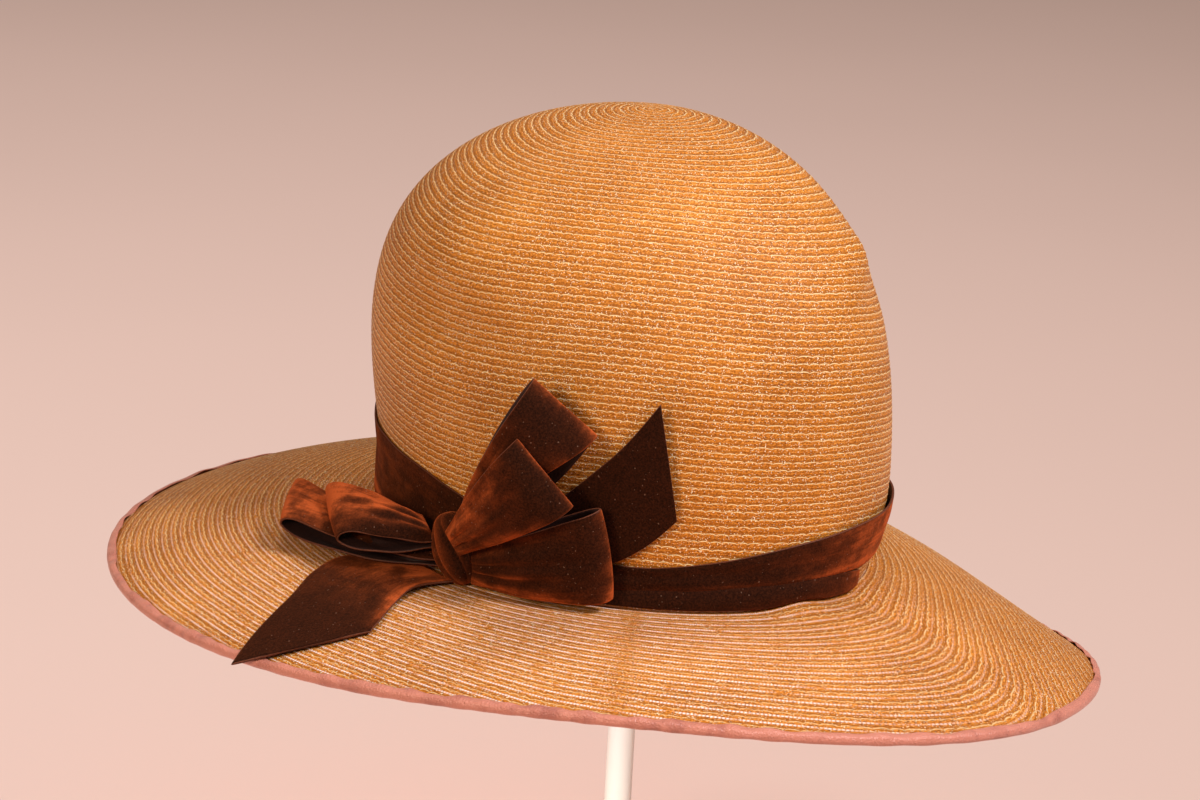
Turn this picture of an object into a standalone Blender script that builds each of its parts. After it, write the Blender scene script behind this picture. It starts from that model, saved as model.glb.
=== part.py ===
# A wide-brimmed hat of sewn straw braid with a velvet ribbon band and bow, on a plain stand.
# Lengths are in metres. Turns are in degrees about +Z, from +X towards +Y.
# The hat's front is at -Y and its bow is on the -X side.

import math

import bmesh
import bpy
from mathutils import Vector

for leftover in list(bpy.data.objects):
    bpy.data.objects.remove(leftover, do_unlink=True)

# Places
HEADLINE_HEIGHT = 0.200  # from the stand's foot to where crown and brim meet
CLEARANCE = 0.0003  # gap between neighbouring pieces

# Straw
STRAW_THICKNESS = 0.0015
CROWN_LENGTH = 0.2246  # outside, front to back at the widest
CROWN_WIDTH = 0.1810
CROWN_HEIGHT = 0.1637
CROWN_LEAN_SIDE = -0.0079  # how far the crown leans over its height
CROWN_LEAN_BACK = 0.0116
CROWN_TIP_SIDE = 0.0152  # how far the rounded top is pushed over
CROWN_TIP_BACK = -0.0056
CROWN_TIP_POWER = 5  # a higher power pushes only the very top
CROWN_KICK_SIDE = -0.0033  # how far the headline is pushed over, towards the bow
CROWN_KICK_BACK = 0.0048
CROWN_KICK_HEIGHT = 0.040
CROWN_RISE_POWER = 3.95  # a higher power keeps the wall upright for longer
CROWN_ROUND_POWER = 1.95
CROWN_NIP = 0.075  # share by which the wall draws in at the headline
CROWN_PLAN_POWER = 1.9  # 2 is an ellipse in plan
BRIM_WIDTH = 0.0988  # mean width along the straw
BRIM_SEAM = 0.00045  # gap between the crown's foot and the brim

# Binding
BINDING_THICKNESS = 0.0010
BINDING_DEPTH = 0.0045  # how far it folds over the brim

# Ribbon
RIBBON_WIDTH = 0.0360
RIBBON_THICKNESS = 0.0011
BAND_LAP = 0.0009  # from the crown to the middle of the band
STRIP_LEAST = 0.00011  # least height of the lower strip where it tucks under
LOOP_MOUTH = 0.00075  # half the gap between a loop's two ends at the knot
LOOP_SHUT = 0.35  # share of its puff that a loop keeps where it is closed
LOOP_OPEN_POWER = 0.7  # a lower power opens a loop sooner
LOOP_ROOT_POWER = 0.5
KNOT_TURN = 172.5  # where the bow sits round the crown
KNOT_RISE = 0.38  # its middle above the headline, as a share of RIBBON_WIDTH
KNOT_GAP = 0.26  # its middle from the crown, as a share of RIBBON_WIDTH
KNOT_WIDTH = 0.0150
KNOT_HEIGHT = 0.0240
KNOT_DEPTH = 0.0130
KNOT_TILT = 24.0
KNOT_WRAPS = 4
KNOT_WRAP_DEPTH = 0.0009
KNOT_SWELL_POWER = 0.38  # a lower power makes the knot blunter

# Stand
BASE_RADIUS = 0.075
BASE_THICKNESS = 0.012
BASE_BEVEL = 0.0015
ROD_RADIUS = 0.0055
SOCKET_FLOOR = 0.004  # base material left under the rod
PAD_DEPTH = 0.0110  # from the pad's top to its flat underside
PAD_CLEARANCE = 0.0006
BOSS_RADIUS = 0.012
BOSS_LENGTH = 0.018
ROD_GRIP = 0.020  # how far the rod reaches into the pad

# How finely the surfaces are divided
RING_STEPS = 48
FOOT_STEPS = 3
CROWN_STEPS = 9
CROWN_CROWDING = 2.0  # a higher power brings the rings closer together at the top
CROWN_LAST_RING = 0.9985  # share of the height at the ring next to the tip
BRIM_STEPS = 8
BRIM_ARC_STEPS = 12
BAND_ROWS = 4
STRIP_SECTIONS = 18
LOOP_SECTIONS = 24
LOOP_POINTS = 5  # across a loop's ribbon
KNOT_LEVELS = 8
KNOT_STEPS = 24
ROD_STEPS = 32
PAD_RINGS = 3


def table(columns, rows):
    return [dict(zip(columns, row)) for row in rows]


# Width is a share of BRIM_WIDTH. The slopes are in degrees below level.
BRIM = table(
    ("turn", "width", "slope_in", "slope_out"),
    (
        (-180, 0.90, -4, 19),
        (-150, 0.88, -6, 13),
        (-120, 0.92, -1, 11),
        (-90, 0.97, 10, 19),
        (-60, 1.00, 18, 33),
        (-30, 1.01, 18, 43),
        (0, 1.01, 15, 43),
        (30, 1.04, 13, 37),
        (60, 1.09, 9, 31),
        (90, 1.12, 4, 27),
        (120, 1.09, 0, 24),
        (150, 1.00, -2, 22),
    ),
)

# Edges of the band above the headline and how far it stands off, as shares of RIBBON_WIDTH.
BAND = table(
    ("turn", "low", "high", "stand_off"),
    (
        (-180, 0.22, 0.75, 0.00),
        (-150, 0.20, 0.48, 0.00),
        (-120, 0.28, 0.62, 0.00),
        (-90, 0.27, 0.82, 0.03),
        (-60, 0.09, 0.74, 0.04),
        (-30, 0.06, 0.80, 0.01),
        (0, 0.06, 0.89, 0.00),
        (30, 0.07, 0.98, 0.00),
        (60, 0.09, 1.07, 0.00),
        (90, 0.12, 1.13, 0.00),
        (120, 0.17, 1.19, 0.00),
        (150, 0.16, 1.13, 0.00),
    ),
)

# The lower strip, from beside the bow to where it tucks under: gap and belly are shares of
# RIBBON_WIDTH, and fill is how much of the room under the band it takes up.
LOWER_STRIP = table(
    ("turn", "fill", "gap", "belly"),
    (
        (-146, 0.75, 0.080, 0.000),
        (-134, 0.90, 0.080, 0.015),
        (-118, 1.00, 0.085, 0.030),
        (-104, 1.00, 0.085, 0.035),
        (-94, 0.95, 0.075, 0.020),
        (-88, 0.75, 0.060, 0.000),
    ),
)

# Corners of the bow's loops. Turn is in degrees from the knot. Rise above the headline, gap from
# the crown and puff (half the open thickness) are shares of RIBBON_WIDTH. Pinch is the width left
# at the knot, and flat is how much of the length stays closed.
LOOPS = table(
    (
        "name", "turn", "rise", "gap", "near_turn", "near_rise", "near_gap",
        "far_turn", "far_rise", "far_gap", "puff", "pinch", "flat",
    ),
    (
        ("loop_left_back", -5.6, 0.185, 0.21, -35.0, 0.20, 1.26, -49.0, 0.32, 0.93, 0.09, 0.30, 0.5),
        ("loop_left_front", -8.6, 0.44, 0.27, -18.8, 0.33, 1.04, -35.5, 0.54, 0.76, 0.11, 0.40, 0.0),
        ("loop_up_back", 2.9, 0.59, 0.18, 36.9, 1.92, 0.28, 24.8, 2.48, 0.53, 0.10, 0.40, 0.0),
        ("loop_up_front", 3.4, 0.53, 0.43, 33.2, 1.27, 0.60, 22.8, 1.92, 0.70, 0.11, 0.36, 0.0),
        ("loop_lower_right", 6.6, 0.25, 0.28, 41.0, 0.18, 0.22, 37.0, 1.17, 0.28, 0.11, 0.32, 0.0),
    ),
)

# Edges of the tails, a row for each section, in the same units as the loops.
TAIL_RIGHT = table(
    ("low_turn", "low_rise", "low_gap", "high_turn", "high_rise", "high_gap"),
    (
        (24.0, 0.56, 0.075, 18.0, 0.84, 0.075),
        (31.0, 0.50, 0.075, 25.5, 1.10, 0.075),
        (38.5, 0.50, 0.075, 33.5, 1.42, 0.085),
        (46.0, 0.72, 0.085, 42.0, 1.80, 0.125),
        (52.8, 1.04, 0.100, 50.1, 2.28, 0.190),
    ),
)

# The tail on the brim: reach along the brim and lift above it are shares of RIBBON_WIDTH.
TAIL_LEFT = table(
    ("near_turn", "near_reach", "near_lift", "far_turn", "far_reach", "far_lift"),
    (
        (4.0, 0.38, 0.060, -8.0, 0.33, 0.060),
        (0.5, 0.74, 0.060, -18.0, 0.56, 0.050),
        (1.6, 1.08, 0.060, -22.5, 0.82, 0.045),
        (3.6, 1.40, 0.060, -20.5, 1.24, 0.045),
        (4.8, 1.63, 0.055, -15.0, 1.76, 0.050),
        (5.0, 1.68, 0.050, -7.7, 2.78, 0.080),
    ),
)


def look_up(rows, column, turn):
    # Smooth value round the full circle, from rows at equal turns.
    value = 0.0
    for row in rows:
        apart = math.radians(turn - row["turn"])
        weight = 1.0 + 2.0 * sum(math.cos(wave * apart) for wave in range(1, 5))
        value += row[column] * weight / len(rows)
    return value


def blend(rows, column, share):
    # Smooth value along an open run of rows, share running from 0 to 1.
    place = max(0.0, min(1.0, share)) * (len(rows) - 1)
    start = min(int(place), len(rows) - 2)
    part = place - start
    values = [rows[max(0, min(len(rows) - 1, start + step))][column] for step in (-1, 0, 1, 2)]
    before, here, there, after = values
    ease = there - before
    leave = after - here
    return (
        here
        + 0.5 * part * ease
        + part ** 2 * (3 * (there - here) - ease - 0.5 * leave)
        + part ** 3 * (0.5 * ease + 0.5 * leave - 2 * (there - here))
    )


def plan_radius(turn, inset=0.0):
    angle = math.radians(turn)
    across = abs(math.cos(angle)) / (CROWN_WIDTH / 2 - inset)
    along = abs(math.sin(angle)) / (CROWN_LENGTH / 2 - inset)
    return (across ** CROWN_PLAN_POWER + along ** CROWN_PLAN_POWER) ** (-1 / CROWN_PLAN_POWER)


def plan_outward(turn):
    step = 0.01
    before = plan_radius(turn - step)
    after = plan_radius(turn + step)
    low = math.radians(turn - step)
    high = math.radians(turn + step)
    along_x = after * math.cos(high) - before * math.cos(low)
    along_y = after * math.sin(high) - before * math.sin(low)
    return Vector((along_y, -along_x, 0)).normalized()


def beside_crown(turn, rise, gap=0.0, inset=0.0):
    # A point at a height above the headline, pushed out from the straw by the gap.
    height = CROWN_HEIGHT - inset
    share = max(0.0, min(1.0, rise / height))
    profile = (1 - share ** CROWN_RISE_POWER) ** (1 / CROWN_ROUND_POWER)
    profile *= 1 - CROWN_NIP * (1 - share) ** 2
    radius = plan_radius(turn, inset) * profile
    lean = rise / CROWN_HEIGHT
    push = share ** CROWN_TIP_POWER
    angle = math.radians(turn)
    kick = max(0.0, 1 - max(0.0, rise) / CROWN_KICK_HEIGHT) ** 2
    side = CROWN_LEAN_SIDE * lean + CROWN_TIP_SIDE * push + CROWN_KICK_SIDE * kick
    back = CROWN_LEAN_BACK * lean + CROWN_TIP_BACK * push + CROWN_KICK_BACK * kick
    side += radius * math.cos(angle)
    back += radius * math.sin(angle)
    return Vector((side, back, HEADLINE_HEIGHT + rise)) + plan_outward(turn) * gap


def brim_width(turn):
    return look_up(BRIM, "width", turn) * BRIM_WIDTH


def on_brim(turn, reach, lift=0.0):
    # A point at a distance along the brim from the headline, lifted square to the straw.
    slope_in = math.radians(look_up(BRIM, "slope_in", turn))
    slope_out = math.radians(look_up(BRIM, "slope_out", turn))
    bend = (slope_out - slope_in) / brim_width(turn)
    arc = reach / BRIM_ARC_STEPS
    out = 0.0
    drop = 0.0
    for step in range(BRIM_ARC_STEPS):
        slope = slope_in + bend * arc * (step + 0.5)
        out += math.cos(slope) * arc
        drop += math.sin(slope) * arc
    slope = slope_in + bend * reach
    out += math.sin(slope) * lift
    drop -= math.cos(slope) * lift
    return beside_crown(turn, 0.0, out) - Vector((0, 0, drop))


def paint(thing, name, colour, roughness, sheen=0.0):
    material = bpy.data.materials.get(name)
    if material is None:
        material = bpy.data.materials.new(name)
        material.use_nodes = True
        shader = material.node_tree.nodes["Principled BSDF"]
        shader.inputs["Base Color"].default_value = (*colour, 1.0)
        shader.inputs["Roughness"].default_value = roughness
        shader.inputs["Metallic"].default_value = 0.0
        shader.inputs["Sheen Weight"].default_value = sheen
        material.diffuse_color = (*colour, 1.0)
    thing.data.materials.append(material)


def paint_straw(thing):
    paint(thing, "straw", (0.62, 0.30, 0.11), 0.6)


def paint_velvet(thing):
    paint(thing, "velvet", (0.06, 0.018, 0.008), 0.9, 0.6)


def paint_satin(thing):
    paint(thing, "satin", (0.62, 0.26, 0.19), 0.4)


def paint_stand(thing):
    paint(thing, "stand_white", (0.85, 0.82, 0.76), 0.35)


def mesh_object(name, points, faces):
    mesh = bpy.data.meshes.new(name)
    work = bmesh.new()
    corners = [work.verts.new(point) for point in points]
    for face in faces:
        work.faces.new([corners[index] for index in face])
    bmesh.ops.recalc_face_normals(work, faces=work.faces)
    work.to_mesh(mesh)
    work.free()
    mesh.shade_smooth()
    thing = bpy.data.objects.new(name, mesh)
    bpy.context.scene.collection.objects.link(thing)
    return thing


def grid_faces(rows, columns, around=False):
    # Faces of a grid of points, counted row by row. Around joins the last row to the first.
    faces = []
    for row in range(rows if around else rows - 1):
        after = (row + 1) % rows
        for column in range(columns - 1):
            here = row * columns + column
            there = after * columns + column
            faces.append((here, here + 1, there + 1, there))
    return faces


def sheet(name, grid, thickness, around=False, offset=0.0):
    # A thin wall from a grid of points. Offset -1 puts the wall behind the points, 0 centres it.
    columns = len(grid[0])
    points = [point for row in grid for point in row]
    mesh = bpy.data.meshes.new(name)
    mesh.from_pydata(points, [], grid_faces(len(grid), columns, around))
    mesh.update()
    mesh.shade_smooth()
    thing = bpy.data.objects.new(name, mesh)
    bpy.context.scene.collection.objects.link(thing)
    wall = thing.modifiers.new("wall", "SOLIDIFY")
    wall.thickness = thickness
    wall.offset = offset
    wall.use_even_offset = True
    wall.use_quality_normals = True
    return thing


def turned(name, rings):
    # A body from rings of points, closed at both ends by a point on the axis.
    first, *middle, last = rings
    count = len(middle[0])
    points = [first] + [point for ring in middle for point in ring] + [last]
    end = len(points) - 1
    faces = [(0, 1 + (step + 1) % count, 1 + step) for step in range(count)]
    for ring in range(len(middle) - 1):
        for step in range(count):
            here = 1 + ring * count + step
            near = 1 + ring * count + (step + 1) % count
            faces.append((here, near, near + count, here + count))
    tail = 1 + (len(middle) - 1) * count
    faces += [(tail + step, tail + (step + 1) % count, end) for step in range(count)]
    return mesh_object(name, points, faces)


def circle(radius, height, steps=RING_STEPS):
    turns = [math.tau * step / steps - math.pi for step in range(steps)]
    return [Vector((radius * math.cos(turn), radius * math.sin(turn), height)) for turn in turns]


def ring_turns():
    return [-180 + 360 * step / RING_STEPS for step in range(RING_STEPS)]


def crown_rings(inset, low, high, steps):
    # Rings of the crown's form between two heights, closer together towards the top.
    rings = []
    for step in range(steps + 1):
        share = 1 - (1 - step / steps) ** CROWN_CROWDING
        rise = low + (high - low) * share
        rings.append([beside_crown(turn, rise, 0.0, inset) for turn in ring_turns()])
    return rings


def wall_rings(inset):
    # The whole height of the crown, with rings of their own where its foot is kicked over.
    top = (CROWN_HEIGHT - inset) * CROWN_LAST_RING
    foot = []
    for step in range(FOOT_STEPS):
        rise = CROWN_KICK_HEIGHT * step / FOOT_STEPS
        foot.append([beside_crown(turn, rise, 0.0, inset) for turn in ring_turns()])
    return foot + crown_rings(inset, CROWN_KICK_HEIGHT, top, CROWN_STEPS)


def make_crown():
    # The wall is one body: outside rings, the tip, and inside rings back to the open mouth.
    outside = wall_rings(0.0)
    inside = wall_rings(STRAW_THICKNESS)
    lap = Vector((0, 0, -STRAW_THICKNESS))
    skirt_out = [point + lap for point in outside[0]]
    skirt_in = [point + lap for point in inside[0]]
    tip_out = beside_crown(0, CROWN_HEIGHT)
    tip_in = beside_crown(0, CROWN_HEIGHT - STRAW_THICKNESS, 0.0, STRAW_THICKNESS)
    rings = [tip_out] + outside[::-1] + [skirt_out, skirt_in] + inside + [tip_in]
    paint_straw(turned("crown", rings))


def make_brim():
    grid = []
    for turn in ring_turns():
        width = brim_width(turn)
        tuck = math.sin(math.radians(max(0.0, look_up(BRIM, "slope_in", turn))))
        inner = BRIM_SEAM + STRAW_THICKNESS * tuck
        row = []
        for step in range(BRIM_STEPS + 1):
            reach = inner + (width - inner) * step / BRIM_STEPS
            row.append(on_brim(turn, reach))
        grid.append(row)
    paint_straw(sheet("brim", grid, STRAW_THICKNESS, around=True, offset=-1.0))


def make_binding():
    # A folded strip with its fold outside the brim's edge.
    over = CLEARANCE + BINDING_THICKNESS / 2
    under = -STRAW_THICKNESS - over
    middle = -STRAW_THICKNESS / 2
    grid = []
    for turn in ring_turns():
        width = brim_width(turn)
        row = [
            on_brim(turn, width - BINDING_DEPTH, over),
            on_brim(turn, width, over),
            on_brim(turn, width + over, (over + middle) / 2),
            on_brim(turn, width + over, (under + middle) / 2),
            on_brim(turn, width, under),
            on_brim(turn, width - BINDING_DEPTH, under),
        ]
        grid.append(row)
    paint_satin(sheet("brim_binding", grid, BINDING_THICKNESS, around=True))


def make_band():
    grid = []
    for turn in ring_turns():
        low = look_up(BAND, "low", turn) * RIBBON_WIDTH
        high = look_up(BAND, "high", turn) * RIBBON_WIDTH
        stand_off = max(0.0, look_up(BAND, "stand_off", turn)) * RIBBON_WIDTH
        row = []
        for step in range(BAND_ROWS + 1):
            share = step / BAND_ROWS
            gap = BAND_LAP + stand_off * share
            row.append(beside_crown(turn, low + (high - low) * share, gap))
        grid.append(row)
    paint_velvet(sheet("band_upper", grid, RIBBON_THICKNESS, around=True))


def make_lower_strip():
    # It fills the room between the brim and the band's lower edge.
    grid = []
    floor = CLEARANCE + RIBBON_THICKNESS / 2
    for section in range(STRIP_SECTIONS + 1):
        share = section / STRIP_SECTIONS
        turn = blend(LOWER_STRIP, "turn", share)
        fill = blend(LOWER_STRIP, "fill", share)
        gap = blend(LOWER_STRIP, "gap", share) * RIBBON_WIDTH
        belly = blend(LOWER_STRIP, "belly", share) * RIBBON_WIDTH
        brim_rise = on_brim(turn, gap).z - HEADLINE_HEIGHT
        low = brim_rise + 2 * floor
        top = look_up(BAND, "low", turn) * RIBBON_WIDTH - 2 * CLEARANCE
        high = low + max(STRIP_LEAST, top - low) * fill
        row = []
        for step in range(BAND_ROWS + 1):
            part = step / BAND_ROWS
            out = gap * (1 - part) + BAND_LAP * part + belly * math.sin(math.pi * part)
            row.append(beside_crown(turn, low + (high - low) * part, out))
        grid.append(row)
    paint_velvet(sheet("band_lower", grid, RIBBON_THICKNESS))


def bow_point(turn, rise, gap):
    return beside_crown(KNOT_TURN + turn, rise * RIBBON_WIDTH, gap * RIBBON_WIDTH)


def brim_point(turn, reach, lift):
    return on_brim(KNOT_TURN + turn, reach * RIBBON_WIDTH, lift * RIBBON_WIDTH)


def make_knot():
    # An upright bundle of wraps, thickest at its middle.
    centre = bow_point(0.0, KNOT_RISE, KNOT_GAP)
    outward = plan_outward(KNOT_TURN)
    aside = Vector((0, 0, 1)).cross(outward)
    tilt = math.radians(KNOT_TILT)
    length = Vector((0, 0, 1)) * math.cos(tilt) - aside * math.sin(tilt)
    across = outward.cross(length)
    rings = [centre - length * KNOT_HEIGHT / 2]
    for level in range(1, KNOT_LEVELS):
        share = -math.cos(math.pi * level / KNOT_LEVELS)
        swell = (1 - share ** 2) ** KNOT_SWELL_POWER
        middle = centre + length * share * KNOT_HEIGHT / 2
        ring = []
        for step in range(KNOT_STEPS):
            angle = math.tau * step / KNOT_STEPS
            wrap = KNOT_WRAP_DEPTH * math.cos(KNOT_WRAPS * (2 * angle + share))
            side = (KNOT_WIDTH / 2 + wrap) * swell * math.cos(angle)
            front = (KNOT_DEPTH / 2 + wrap) * swell * math.sin(angle)
            ring.append(middle + across * side + outward * front)
        rings.append(ring)
    rings.append(centre + length * KNOT_HEIGHT / 2)
    paint_velvet(turned("knot", rings))


def make_loop(row):
    # The ribbon leaves the knot, turns back at its fold and returns beside itself.
    root = bow_point(row["turn"], row["rise"], row["gap"])
    near = bow_point(row["near_turn"], row["near_rise"], row["near_gap"])
    far = bow_point(row["far_turn"], row["far_rise"], row["far_gap"])
    apart = ((near + far) / 2 - root).cross(far - near).normalized()
    puff = row["puff"] * RIBBON_WIDTH
    root_half = RIBBON_THICKNESS / 2 + LOOP_MOUTH
    grid = []
    for section in range(LOOP_SECTIONS + 1):
        travel = math.pi * (2 * section / LOOP_SECTIONS - 1)
        share = (1 + math.cos(travel)) / 2
        opening = max(0.0, (share - row["flat"]) / (1 - row["flat"]))
        width = row["pinch"] + (1 - row["pinch"]) * share
        height = LOOP_SHUT + (1 - LOOP_SHUT) * opening ** LOOP_OPEN_POWER
        height *= puff * math.sin(travel)
        height += math.copysign(root_half * (1 - share) ** LOOP_ROOT_POWER, travel)
        line = []
        for step in range(LOOP_POINTS):
            part = (step / (LOOP_POINTS - 1) - 0.5) * width
            place = []
            for column in ("turn", "rise", "gap"):
                start = row[column]
                low = row["near_" + column]
                high = row["far_" + column]
                middle = (low + high) / 2
                place.append(start + (middle - start) * share + (high - low) * part)
            line.append(bow_point(*place) + apart * height)
        grid.append(line)
    paint_velvet(sheet(row["name"], grid, RIBBON_THICKNESS))


def tail_grid(rows, edges, columns, place, sections, across):
    # Points over a ribbon that is given by its two edges.
    grid = []
    for section in range(sections + 1):
        share = section / sections
        line = []
        for step in range(across):
            part = step / (across - 1)
            values = []
            for column in columns:
                start = blend(rows, edges[0] + column, share)
                end = blend(rows, edges[1] + column, share)
                values.append(start + (end - start) * part)
            line.append(place(*values))
        grid.append(line)
    return grid


def make_tail_right():
    columns = ("turn", "rise", "gap")
    grid = tail_grid(TAIL_RIGHT, ("low_", "high_"), columns, bow_point, 12, 5)
    paint_velvet(sheet("tail_right", grid, RIBBON_THICKNESS))


def make_tail_left():
    columns = ("turn", "reach", "lift")
    grid = tail_grid(TAIL_LEFT, ("near_", "far_"), columns, brim_point, 16, 7)
    paint_velvet(sheet("tail_left", grid, RIBBON_THICKNESS))


def make_pad():
    # The pad follows the crown from inside, with a socketed boss below for the rod.
    inset = STRAW_THICKNESS + PAD_CLEARANCE
    top = CROWN_HEIGHT - inset
    low = top - PAD_DEPTH
    dome = crown_rings(inset, low, top * CROWN_LAST_RING, PAD_RINGS)
    underside = HEADLINE_HEIGHT + low
    boss_end = underside - BOSS_LENGTH
    socket_top = boss_end + ROD_GRIP
    bore = ROD_RADIUS + CLEARANCE
    rings = [beside_crown(0, top, 0.0, inset)]
    rings += dome[::-1]
    rings += [circle(BOSS_RADIUS, underside), circle(BOSS_RADIUS, boss_end)]
    rings += [circle(bore, boss_end), circle(bore, socket_top), Vector((0, 0, socket_top))]
    paint_stand(turned("stand_pad", rings))
    return socket_top


def make_rod(socket_top):
    foot = SOCKET_FLOOR + CLEARANCE
    head = socket_top - CLEARANCE
    rings = [
        Vector((0, 0, head)),
        circle(ROD_RADIUS, head, ROD_STEPS),
        circle(ROD_RADIUS, foot, ROD_STEPS),
        Vector((0, 0, foot)),
    ]
    paint_stand(turned("stand_rod", rings))


def make_base():
    socket = ROD_RADIUS + CLEARANCE
    rings = [
        Vector((0, 0, 0)),
        circle(BASE_RADIUS - BASE_BEVEL, 0.0),
        circle(BASE_RADIUS, BASE_BEVEL),
        circle(BASE_RADIUS, BASE_THICKNESS - BASE_BEVEL),
        circle(BASE_RADIUS - BASE_BEVEL, BASE_THICKNESS),
        circle(socket, BASE_THICKNESS),
        circle(socket, SOCKET_FLOOR),
        Vector((0, 0, SOCKET_FLOOR)),
    ]
    paint_stand(turned("stand_base", rings))


make_crown()
make_brim()
make_binding()
make_band()
make_lower_strip()
make_knot()
for loop_row in LOOPS:
    make_loop(loop_row)
make_tail_right()
make_tail_left()
make_rod(make_pad())
make_base()
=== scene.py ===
import math

import bpy
import numpy as np
from mathutils import Matrix, Vector


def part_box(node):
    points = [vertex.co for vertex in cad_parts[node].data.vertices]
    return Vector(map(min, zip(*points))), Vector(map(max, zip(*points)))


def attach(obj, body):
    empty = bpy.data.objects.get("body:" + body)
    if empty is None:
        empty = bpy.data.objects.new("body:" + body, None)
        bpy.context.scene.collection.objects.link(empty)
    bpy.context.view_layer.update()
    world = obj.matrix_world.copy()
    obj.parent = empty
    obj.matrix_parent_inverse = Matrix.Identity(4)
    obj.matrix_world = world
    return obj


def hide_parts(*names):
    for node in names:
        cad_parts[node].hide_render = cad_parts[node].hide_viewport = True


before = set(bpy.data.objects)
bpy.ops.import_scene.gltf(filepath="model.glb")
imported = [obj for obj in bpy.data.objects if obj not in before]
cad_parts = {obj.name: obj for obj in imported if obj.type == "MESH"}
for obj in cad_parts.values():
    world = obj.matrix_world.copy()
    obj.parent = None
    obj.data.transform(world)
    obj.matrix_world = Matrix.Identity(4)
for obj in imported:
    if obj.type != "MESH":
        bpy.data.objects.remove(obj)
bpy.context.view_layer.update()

crownForm = {
    "length": 0.2246,
    "width": 0.1810,
    "height": 0.1637,
    "lean": (-0.0079, 0.0116),  # sideways and back, over the whole height
    "tipPush": (0.0152, -0.0056),
    "tipPower": 5,
    "kick": (-0.0033, 0.0048),  # sideways and back, at the headline
    "kickHeight": 0.040,
    "risePower": 3.95,
    "roundPower": 1.95,
    "nip": 0.075,
    "planPower": 1.9,
    "wall": 0.0015,
    "rows": 77,
    "around": 240,
    "stitch": 0.0046,
    "rowHeight": 0.00027,
    "rowStep": 0.00028,
    "eye": 0.08,  # share of the first row left open at the tip
    "blendFrom": 0.80,  # share of the rows after which they turn level with the headline
    "sinkFull": 0.40,  # share of the rows over which their sinking round the crown grows
    "sinkPower": 8,
}

brimForm = {
    "width": 0.0988,
    "seam": 0.0005,
    "wall": 0.0012,
    "rings": 104,
    "ringsUnder": 26,
    "around": 600,
    "stitches": 196,
    "rowHeight": 0.00024,
    "rowStep": 0.00020,
    "stainTurn": -140.5,
    "stainWide": 2.0,
    "stainAndShadeShare": 0.08,
    "stainShut": 0.75,  # how much of the open mesh the stain closes
    "paintedShadeTurn": -74,  # the middle of the painted shade on the straw at the right, where the brim slopes away from the light
    "paintedShadeWide": 24,
    "paintedShadeShare": 1.5,  # strength of the painted shade, as a share of the stain's strength
    "edgePaintedShade": 0.5,  # painted shade at the straw's edge, beside and under the satin
    "edgeWide": 0.035,
}

seamTurn = 34  # everything that runs round the hat begins here, on its far side


def table(columns, rows):
    return [dict(zip(columns, row)) for row in rows]


brimTurns = table(  # width is a share of the brim's width, slopes are degrees below level
    ("turn", "width", "slopeIn", "slopeOut", "open"),
    (
        (-180, 0.90, -4, 19, 1.0), (-150, 0.88, -6, 13, 1.0), (-120, 0.92, -1, 11, 0.95),
        (-90, 0.97, 10, 19, 0.20), (-60, 1.00, 18, 33, 0.0), (-30, 1.01, 18, 43, 0.1),
        (0, 1.01, 15, 43, 0.1), (30, 1.04, 13, 37, 0.1), (60, 1.09, 9, 31, 0.1),
        (90, 1.12, 4, 27, 0.1), (120, 1.09, 0, 24, 0.35), (150, 1.00, -2, 22, 0.80),
    ),
)

brimRows = table(  # rows between the headline and the edge, which bunch up past the crease at -91
    ("turn", "rows"),
    (
        (-180, 24.5), (-165, 22.0), (-150, 19.5), (-135, 18.5), (-120, 18.0), (-106, 17.2), (-97, 17.0),
        (-91, 18.5), (-85, 23.5), (-77, 28.5), (-64, 32.0), (-45, 32.0), (90, 29.5), (150, 27.5),
    ),
)

brimSwells = table(  # a small rise beside the ribbon and a crease that runs out from it
    ("turn", "place", "wide", "long", "push"),  # place and long run out from the headline
    (
        (-105, 0.003, 5.5, 0.009, 0.0022), (-91, 0.028, 2.6, 0.030, -0.0013), (-84, 0.030, 4.5, 0.030, 0.0009),
        (-48, 0.100, 15.0, 0.030, -0.0036),
    ),
)

crownDents = table(  # soft dents, and a low bump with a hollow under it
    ("turn", "place", "wide", "long", "push"),  # place and long run up from the headline
    (
        (-146, 0.118, 16, 0.026, -0.0011), (-128, 0.100, 18, 0.030, 0.0009), (-165, 0.060, 20, 0.035, 0.0006),
        (-199, 0.094, 25, 0.015, -0.0036), (-194, 0.124, 26, 0.018, 0.0016),
        (-77, 0.122, 10, 0.008, 0.0024), (-77, 0.107, 10, 0.007, -0.0014),
    ),
)

crownMarks = {
    "lineTurn": -144,  # a faint line that runs up the front of the crown
    "lineRise": 0.10,
    "lineLean": 200,  # degrees for each metre that it rises
    "lineWide": 1.8,
    "lineShare": 0.10,
    "lineFrom": 0.095,
    "lineFade": 0.02,
    "dentShadeTurn": -207,  # painted shade in the dent at the left
    "dentShadeWide": 16,
    "dentShadeRise": 0.098,
    "dentShadeTall": 0.012,
    "dentShadeShare": 0.16,
}

rowSink = table(  # how much lower the rows lie round the crown, in metres along the straw
    ("turn", "sink"),
    (
        (-180, 0.0025), (-150, 0.0000), (-120, 0.0075), (-90, 0.0165), (-60, 0.0160), (-30, 0.0140),
        (0, 0.0120), (30, 0.0105), (60, 0.0090), (90, 0.0075), (120, 0.0060), (150, 0.0040),
    ),
)

ribbon = {
    "width": 0.0360,
    "thickness": 0.0011,
    "edgePower": 8,  # how late its edges round off
    "lap": 0.0009,  # from the straw to the ribbon's middle
    "knotTurn": 172.5,
}

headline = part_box("crown")[0].z + crownForm["wall"]  # the level at which the crown meets the brim


def roundTurns(count):
    return seamTurn + 360 * np.arange(count) / count


def besideTurn(turn, centre):  # degrees from the centre, the short way round
    return (turn - centre + 180) % 360 - 180


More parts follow.
